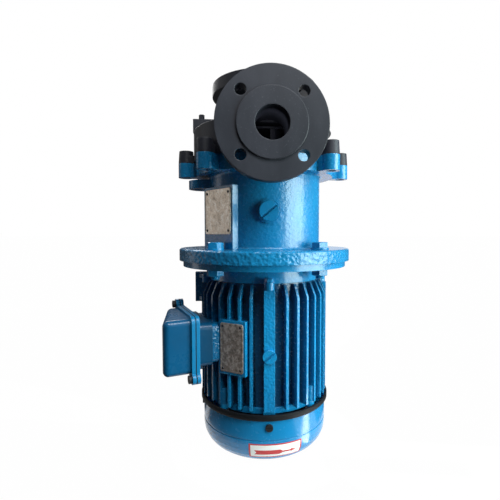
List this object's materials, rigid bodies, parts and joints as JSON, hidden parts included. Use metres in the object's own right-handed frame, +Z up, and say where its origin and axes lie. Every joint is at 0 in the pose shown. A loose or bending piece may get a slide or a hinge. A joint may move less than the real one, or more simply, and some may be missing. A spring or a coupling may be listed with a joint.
{
  "type": "magnetic drive pump",
  "caption": "Close coupled magnetic drive pump: plastic volute head with suction and discharge flanges, lantern, finned flange motor with feet, terminal box and fan cover.",
  "frame": {"origin": "centre of the fan cover's flat bottom, on the shaft axis", "axes": "+Z up the shaft axis to the suction flange, -Y towards the discharge, +Y towards the motor feet"},
  "size_m": [0.2256, 0.2175, 0.437],
  "materials": {
    "blue_enamel": "glossy enamel with orange peel",
    "black_plastic": "moulded plastic",
    "shell_composite": "fibre filled plastic",
    "ceramic": "ground ceramic",
    "carbon": "carbon graphite",
    "rubber": "black rubber",
    "magnetic_steel": "sintered and laminated steel",
    "steel": "machined steel",
    "black_steel": "blackened steel",
    "copper": "enamelled copper wire",
    "aluminium": "cast aluminium",
    "brass": "turned brass",
    "bakelite": "moulded phenolic"
  },
  "bodies": {
    "pump_body": {"lantern": "blue_enamel", "lantern_plug": "blue_enamel", "drive_end_shield": "blue_enamel", "motor_frame": "blue_enamel", "frame_plug": "blue_enamel", "rear_end_shield": "blue_enamel", "fan_cover": "blue_enamel", "terminal_box_base": "blue_enamel", "terminal_box_lid": "blue_enamel", "flange_bolts": "blue_enamel", "flange_washers": "blue_enamel", "flange_nuts": "blue_enamel", "drive_shield_screws": "blue_enamel", "pump_casing": "black_plastic", "vent_plug": "black_plastic", "cable_gland": "black_plastic", "containment_shell": "shell_composite", "mouth_ring": "ceramic", "front_thrust_ring": "ceramic", "rear_thrust_ring": "ceramic", "spindle": "ceramic", "casing_o_ring": "rubber", "shaft_seal": "rubber", "terminal_box_gasket": "rubber", "stator_core": "magnetic_steel", "drive_bearing_outer": "steel", "rear_bearing_outer": "steel", "wave_spring": "steel", "rear_shield_screws": "steel", "fan_cover_screws": "steel", "casing_screws": "steel", "lid_screws": "black_steel", "stator_windings": "copper", "casing_inserts": "brass", "terminal_studs": "brass", "terminal_block": "bakelite"},
    "motor_rotor": {"motor_shaft": "steel", "rotor_core": "magnetic_steel", "rotor_end_rings": "aluminium", "drive_bearing_inner": "steel", "drive_bearing_balls": "steel", "rear_bearing_inner": "steel", "rear_bearing_balls": "steel", "cooling_fan": "black_plastic", "fan_circlip": "steel", "outer_magnet_hub": "steel", "outer_magnets": "magnetic_steel", "hub_key": "steel", "hub_set_screw": "black_steel"},
    "impeller_rotor": {"impeller": "black_plastic", "magnet_carrier": "black_plastic", "inner_magnets": "magnetic_steel", "carrier_cap": "black_plastic", "front_bush": "carbon", "rear_bush": "carbon"}
  },
  "joints": [
    {"name": "motor_spin", "type": "hinge", "parent": "pump_body", "child": "motor_rotor", "pos_m": [0, 0, 0.132], "axis": [0, 0, 1], "continuous": true},
    {"name": "impeller_spin", "type": "hinge", "parent": "pump_body", "child": "impeller_rotor", "pos_m": [0, 0, 0.342], "axis": [0, 0, 1], "continuous": true}
  ],
  "couplings": [
    {"joint": "impeller_spin", "follows": "motor_spin", "ratio": 1}
  ]
}
